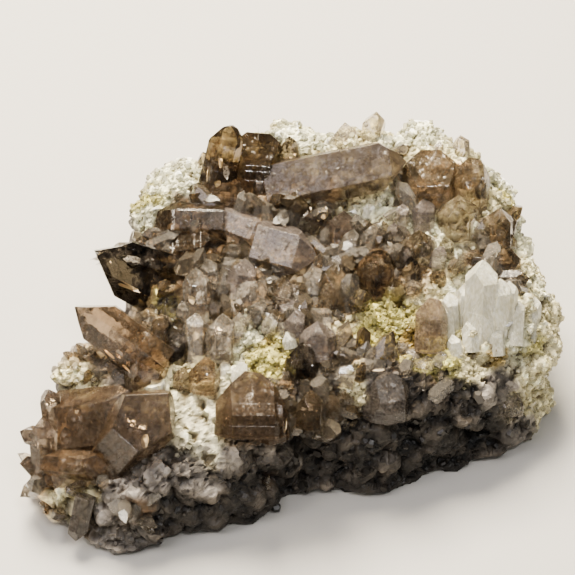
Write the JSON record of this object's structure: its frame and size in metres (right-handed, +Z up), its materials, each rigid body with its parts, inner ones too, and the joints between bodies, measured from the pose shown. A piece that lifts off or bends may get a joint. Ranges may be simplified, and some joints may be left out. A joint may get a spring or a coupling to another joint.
{
  "type": "smoky quartz crystal specimen",
  "caption": "Cluster of brown, clear and milky quartz crystals on a lumpy block of pale vein rock with a flat base, for display.",
  "frame": {"origin": "middle of the specimen's box in plan, on the surface that its flat base rests on", "axes": "+X to the right along the block, as seen from the front; +Y to the back; +Z up"},
  "size_m": [0.0918, 0.0741, 0.0398],
  "materials": {
    "rock": "rough, granular, pale grey to cream druse over darker rock",
    "smoky_quartz": "clear smoky brown crystal with glassy faces",
    "golden_quartz": "clear golden brown crystal with glassy faces",
    "lilac_quartz": "pale grey-lilac smoky crystal, finely etched faces",
    "clear_quartz": "nearly colourless crystal with bright edges",
    "milky_quartz": "cloudy cream-white crystal, satin faces"
  },
  "bodies": {
    "root": {"rock_matrix": "rock", "great_prism": "smoky_quartz", "crown_cluster": "smoky_quartz", "dark_point": "smoky_quartz", "golden_point": "golden_quartz", "nose_cluster": "golden_quartz", "south_prism": "clear_quartz", "brown_lens": "smoky_quartz", "lilac_cluster": "lilac_quartz", "clear_cluster": "clear_quartz", "orange_crystal": "golden_quartz", "front_crystal": "golden_quartz", "white_pair": "lilac_quartz", "dark_round": "smoky_quartz", "red_crystal": "smoky_quartz", "pink_crystal": "lilac_quartz", "milky_cluster": "milky_quartz", "east_cluster": "smoky_quartz", "east_slab": "smoky_quartz", "sparkle_block": "smoky_quartz", "tan_crystal": "smoky_quartz", "dark_sliver": "smoky_quartz", "sparkle_east": "smoky_quartz", "grey_slip": "lilac_quartz", "rim_clear": "clear_quartz", "rim_east": "clear_quartz", "grey_crystal": "clear_quartz", "east_milky": "milky_quartz"}
  },
  "joints": []
}
